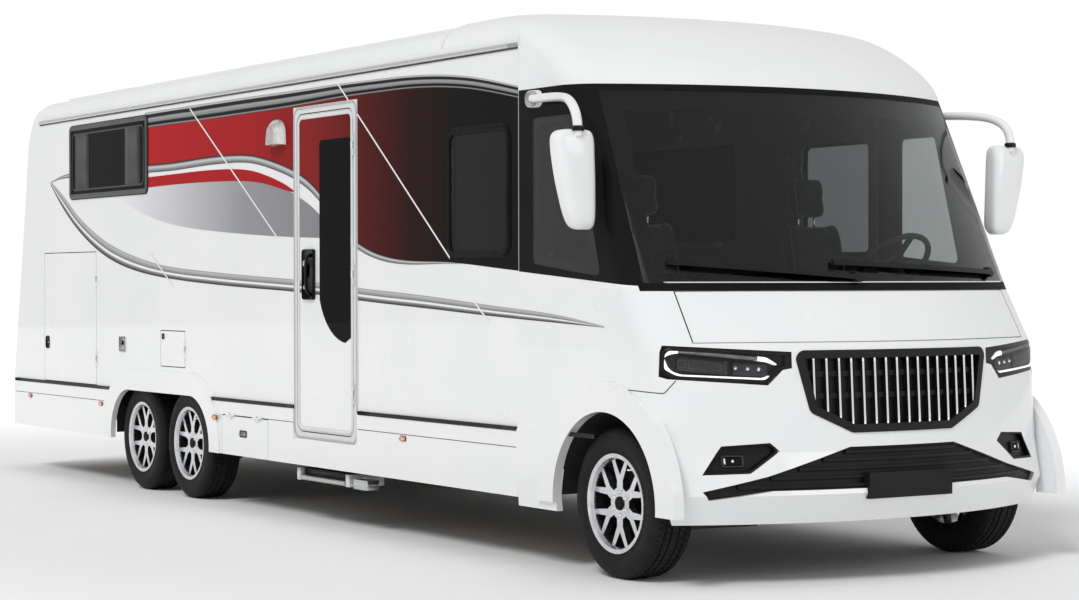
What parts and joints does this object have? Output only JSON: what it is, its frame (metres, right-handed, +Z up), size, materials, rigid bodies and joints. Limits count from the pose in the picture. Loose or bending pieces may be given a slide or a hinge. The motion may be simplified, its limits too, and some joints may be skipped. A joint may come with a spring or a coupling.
{
  "type": "class-A motorhome on a tandem-axle chassis",
  "caption": "White integrated motorhome with a tandem rear axle, a deep windscreen, hanging mirrors, an entrance door, storage lids and steered front wheels.",
  "frame": {"origin": "on the road, at the middle of the overall length and width", "axes": "+X forward, +Y to the vehicle's left, +Z up"},
  "size_m": [9.279, 3.045, 2.9],
  "materials": {
    "white_body": "gloss",
    "black_shell": "gloss",
    "glass": "gloss",
    "lamp_glass": "gloss",
    "red_lens": "gloss",
    "bright_trim": "polished",
    "black_trim": "matte",
    "silver_frame": "satin",
    "chassis": "satin",
    "liner": "matte",
    "floor": "satin",
    "engine": "matte",
    "hub_steel": "satin",
    "tyre": "matte",
    "wheel_alloy": "satin",
    "dash": "matte",
    "seat_cover": "satin",
    "roof_light": "satin"
  },
  "bodies": {
    "coach": {"frame_rails": "chassis", "floor_panel": "floor", "side_wall_right": "white_body", "side_wall_left": "white_body", "rear_wall": "white_body", "roof_panel": "white_body", "front_cap": "white_body", "cab_frame": "black_shell", "nose_shell": "white_body", "cab_glass": "glass", "house_windows": "glass", "skirts": "white_body", "arch_flares": "white_body", "rear_bumper": "white_body", "rear_lamps": "red_lens", "headlamps": "lamp_glass", "fog_lamps": "lamp_glass", "grille": "bright_trim", "lower_intake": "black_trim", "entrance_frame": "silver_frame", "entry_step": "black_trim", "dashboard": "dash", "seat_bases": "chassis", "front_seats": "seat_cover", "engine_block": "engine", "arch_liners": "liner", "front_axle": "chassis", "tandem_axles": "chassis", "mirrors": "white_body", "wipers": "black_trim", "rooflights": "roof_light"},
    "knuckle_right": {"knuckle_right": "hub_steel"},
    "knuckle_left": {"knuckle_left": "hub_steel"},
    "entrance_door": {"entrance_door": "white_body", "entrance_window": "glass"},
    "garage_door_right": {"garage_door_right": "white_body"},
    "garage_door_left": {"garage_door_left": "white_body"},
    "service_flap": {"service_flap": "white_body"},
    "skirt_flap": {"skirt_flap": "white_body"},
    "bonnet": {"bonnet": "white_body"},
    "steering_wheel": {"steering_wheel": "black_trim"},
    "wheel_front_right": {"tyre_front_right": "tyre", "rim_front_right": "wheel_alloy"},
    "wheel_front_left": {"tyre_front_left": "tyre", "rim_front_left": "wheel_alloy"},
    "wheel_mid_right": {"tyre_mid_right": "tyre", "rim_mid_right": "wheel_alloy"},
    "wheel_mid_left": {"tyre_mid_left": "tyre", "rim_mid_left": "wheel_alloy"},
    "wheel_rear_right": {"tyre_rear_right": "tyre", "rim_rear_right": "wheel_alloy"},
    "wheel_rear_left": {"tyre_rear_left": "tyre", "rim_rear_left": "wheel_alloy"}
  },
  "joints": [
    {"name": "steer_right", "type": "hinge", "parent": "coach", "child": "knuckle_right", "pos_m": [3.81, -0.96, 0.37], "axis": [0, 0, 1], "range_deg": [-35, 35]},
    {"name": "steer_left", "type": "hinge", "parent": "coach", "child": "knuckle_left", "pos_m": [3.81, 0.96, 0.37], "axis": [0, 0, 1], "range_deg": [-35, 35]},
    {"name": "spin_front_right", "type": "hinge", "parent": "knuckle_right", "child": "wheel_front_right", "pos_m": [3.81, -1.0625, 0.37], "axis": [0, 1, 0], "continuous": true},
    {"name": "spin_front_left", "type": "hinge", "parent": "knuckle_left", "child": "wheel_front_left", "pos_m": [3.81, 1.0625, 0.37], "axis": [0, 1, 0], "continuous": true},
    {"name": "spin_mid_right", "type": "hinge", "parent": "coach", "child": "wheel_mid_right", "pos_m": [-1.33, -1.0625, 0.37], "axis": [0, 1, 0], "continuous": true},
    {"name": "spin_mid_left", "type": "hinge", "parent": "coach", "child": "wheel_mid_left", "pos_m": [-1.33, 1.0625, 0.37], "axis": [0, 1, 0], "continuous": true},
    {"name": "spin_rear_right", "type": "hinge", "parent": "coach", "child": "wheel_rear_right", "pos_m": [-2.135, -1.0625, 0.37], "axis": [0, 1, 0], "continuous": true},
    {"name": "spin_rear_left", "type": "hinge", "parent": "coach", "child": "wheel_rear_left", "pos_m": [-2.135, 1.0625, 0.37], "axis": [0, 1, 0], "continuous": true},
    {"name": "entrance_door_hinge", "type": "hinge", "parent": "coach", "child": "entrance_door", "pos_m": [1.175, -1.241, 1.51], "axis": [0, 0, 1], "range_deg": [0, 150]},
    {"name": "garage_hinge_right", "type": "hinge", "parent": "coach", "child": "garage_door_right", "pos_m": [-2.873, -1.235, 1.1925], "axis": [0, 0, 1], "range_deg": [0, 150]},
    {"name": "garage_hinge_left", "type": "hinge", "parent": "coach", "child": "garage_door_left", "pos_m": [-2.873, 1.235, 1.1925], "axis": [0, 0, -1], "range_deg": [0, 150]},
    {"name": "service_flap_hinge", "type": "hinge", "parent": "coach", "child": "service_flap", "pos_m": [-1.273, -1.235, 1.003], "axis": [0, 0, 1], "range_deg": [0, 110]},
    {"name": "skirt_flap_hinge", "type": "hinge", "parent": "coach", "child": "skirt_flap", "pos_m": [-0.3125, -1.247, 0.597], "axis": [-1, 0, 0], "range_deg": [0, 90]},
    {"name": "bonnet_hinge", "type": "hinge", "parent": "coach", "child": "bonnet", "pos_m": [4.331, 0, 1.504], "axis": [0, -1, 0], "range_deg": [0, 45]},
    {"name": "steering_wheel_turn", "type": "hinge", "parent": "coach", "child": "steering_wheel", "pos_m": [3.88, 0.54, 1.545], "axis": [-0.7071, 0, 0.7071], "range_deg": [-490, 490]}
  ],
  "couplings": [
    {"joint": "steer_left", "follows": "steer_right", "ratio": 1},
    {"joint": "steering_wheel_turn", "follows": "steer_right", "ratio": 14}
  ]
}
